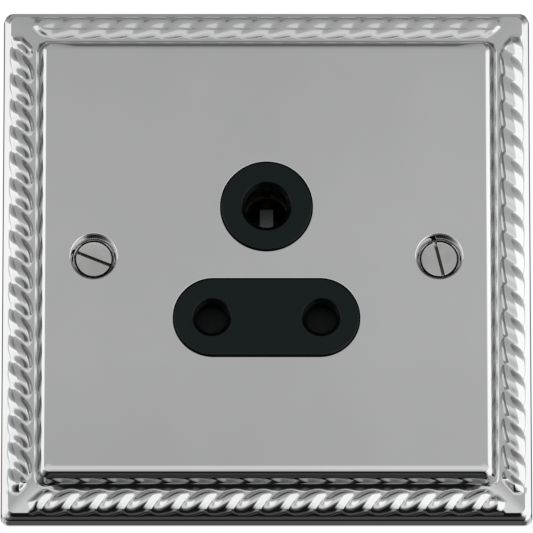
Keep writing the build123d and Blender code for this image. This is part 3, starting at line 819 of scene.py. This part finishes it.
def wramp(x, stops):
    """Piecewise ramp over sin(elevation), from -1 to 1."""
    f = wmath("MULTIPLY_ADD", x, 0.5)
    f.node.inputs[2].default_value = 0.5
    r = wt.nodes.new("ShaderNodeValToRGB")
    el = r.color_ramp.elements
    while len(el) < len(stops):
        el.new(0.5)
    for e, (p, c) in zip(el, stops):
        e.position = (p + 1) / 2
        e.color = (c, c, c, 1)
    wt.links.new(f, r.inputs["Fac"])
    return r.outputs["Color"]


def wmix(fac, a, b_):
    n = wt.nodes.new("ShaderNodeMix")
    n.data_type = "RGBA"
    wt.links.new(fac, n.inputs["Factor"])
    wt.links.new(a, n.inputs[6])
    wt.links.new(b_, n.inputs[7])
    return n.outputs[2]


dx, dy, dz = w_sep.outputs[0], w_sep.outputs[1], w_sep.outputs[2]
horiz = wmath("SQRT", wmath("ADD", wmath("MULTIPLY", dx, dx), wmath("MULTIPLY", dy, dy)))
side = wmath("DIVIDE", wmath("ABSOLUTE", dx), wmath("MAXIMUM", horiz, 0.001))
front_env = wramp(dz, [(-1.0, 0.010), (-0.79, 0.012), (-0.70, 0.09), (-0.48, 0.17), (-0.38, 0.75), (-0.1, 1.05), (0.08, 0.95), (0.2, 0.64), (0.6, 0.58), (1.0, 0.46)])
left_env = wramp(dz, [(-1.0, 0.010), (-0.84, 0.02), (-0.70, 0.22), (-0.52, 0.42), (-0.38, 0.62), (-0.28, 1.35), (0.32, 1.5), (0.41, 0.66), (0.60, 0.46), (0.74, 0.27), (0.92, 0.27), (1.0, 0.46)])
right_env = wramp(dz, [(-1.0, 0.010), (-0.93, 0.02), (-0.80, 1.1), (-0.6, 1.5), (0.28, 1.5), (0.37, 0.70), (0.60, 0.46), (0.72, 0.24), (0.90, 0.24), (1.0, 0.40)])
back_env = wramp(dz, [(-1.0, 0.06), (-0.9, 0.10), (-0.3, 0.115), (0.2, 0.13), (0.6, 0.15), (0.985, 0.17), (1.0, 0.30)])
side_env = wmix(wstep(dx, -0.05, 0.05), left_env, right_env)
side_mask = wmix(wstep(dx, -0.05, 0.05), wstep(side, 0.62, 0.74), wstep(side, 0.50, 0.62))
env = wmix(side_mask, front_env, side_env)
back_mask = wstep(wmath("SUBTRACT", dy, wmath("MULTIPLY", wmath("ABSOLUTE", dx), 0.85)), 0.06, 0.22)
env = wmix(back_mask, env, back_env)
# two soft boxes behind, one level and one high, for the rear
level = wmath("MULTIPLY", wstep(dy, 0.82, 0.90), wmath("MULTIPLY", wstep(dz, -0.42, -0.32), wmath("SUBTRACT", 1.0, wstep(dz, 0.06, 0.16))))
high = wmath("MULTIPLY", wstep(dy, 0.62, 0.72), wstep(dz, 0.40, 0.50))
env = wmix(wmath("MAXIMUM", level, high), env, wramp(dz, [(-1.0, 0.85), (0.2, 0.85), (0.4, 1.3), (1.0, 1.3)]))
wt.links.new(env, w_bg.inputs["Color"])
w_bg.inputs["Strength"].default_value = 1.0
wt.links.new(w_lp.outputs["Is Camera Ray"], w_mix.inputs[0])
wt.links.new(w_bg.outputs[0], w_mix.inputs[1])
wt.links.new(w_white.outputs[0], w_mix.inputs[2])
wt.links.new(w_mix.outputs[0], w_out.inputs[0])

# pale floor, well below the fixture; seen from below it lets the light through
fm, fnt, fb = new_mat("pale_floor")
fb.inputs["Roughness"].default_value = 0.7
fv = obj_coord(fnt)
link(fnt, ramp(fnt, noise(fnt, fv, 6.0, 3.0, 0.5), [(0.3, (0.90, 0.90, 0.90)), (0.7, (0.93, 0.93, 0.93))]), fb.inputs["Base Color"])
fb.inputs["Emission Color"].default_value = (1, 1, 1, 1)
fb.inputs["Emission Strength"].default_value = 0.35
fgeo = fnt.nodes.new("ShaderNodeNewGeometry")
ftr = fnt.nodes.new("ShaderNodeBsdfTransparent")
fmx = fnt.nodes.new("ShaderNodeMixShader")
link(fnt, fgeo.outputs["Backfacing"], fmx.inputs[0])
link(fnt, fb.outputs[0], fmx.inputs[1])
link(fnt, ftr.outputs[0], fmx.inputs[2])
link(fnt, fmx.outputs[0], fnt.nodes["Material Output"].inputs["Surface"])
fl = Build()
R = 5.0
loops = [fl.add([(r * sin(2 * pi * i / 64), r * cos(2 * pi * i / 64), -1.9) for i in range(64)]) for r in (R, R * 0.6, R * 0.2)]
fl.rings(loops)
fl.f.append(tuple(loops[-1]))
floor = fl.make("studio_floor", [fm])
bm = bmesh.new()
bm.from_mesh(floor.data)
for fc in bm.faces:
    if fc.normal.z < 0:
        fc.normal_flip()
bm.to_mesh(floor.data)
bm.free()
floor.visible_glossy = False

# ------------------------------------------------------------------ camera
ELEV = -15.3
LENS = 700.0
cam_data = bpy.data.cameras.new("camera")
cam = bpy.data.objects.new("camera", cam_data)
scene.collection.objects.link(cam)
cam_data.sensor_width = 36.0
cam_data.lens = LENS
WIDTH = 93.2 * MM            # what the frame spans at the plate
dist = WIDTH * LENS / 36.0
target = Vector((0.0, -0.0045, -0.0006))
e = radians(ELEV)
cam.location = target + Vector((0, -cos(e), sin(e))) * dist
cam.rotation_euler = (target - cam.location).to_track_quat("-Z", "Y").to_euler()
cam_data.clip_start = 0.05
cam_data.clip_end = 50.0
scene.camera = cam
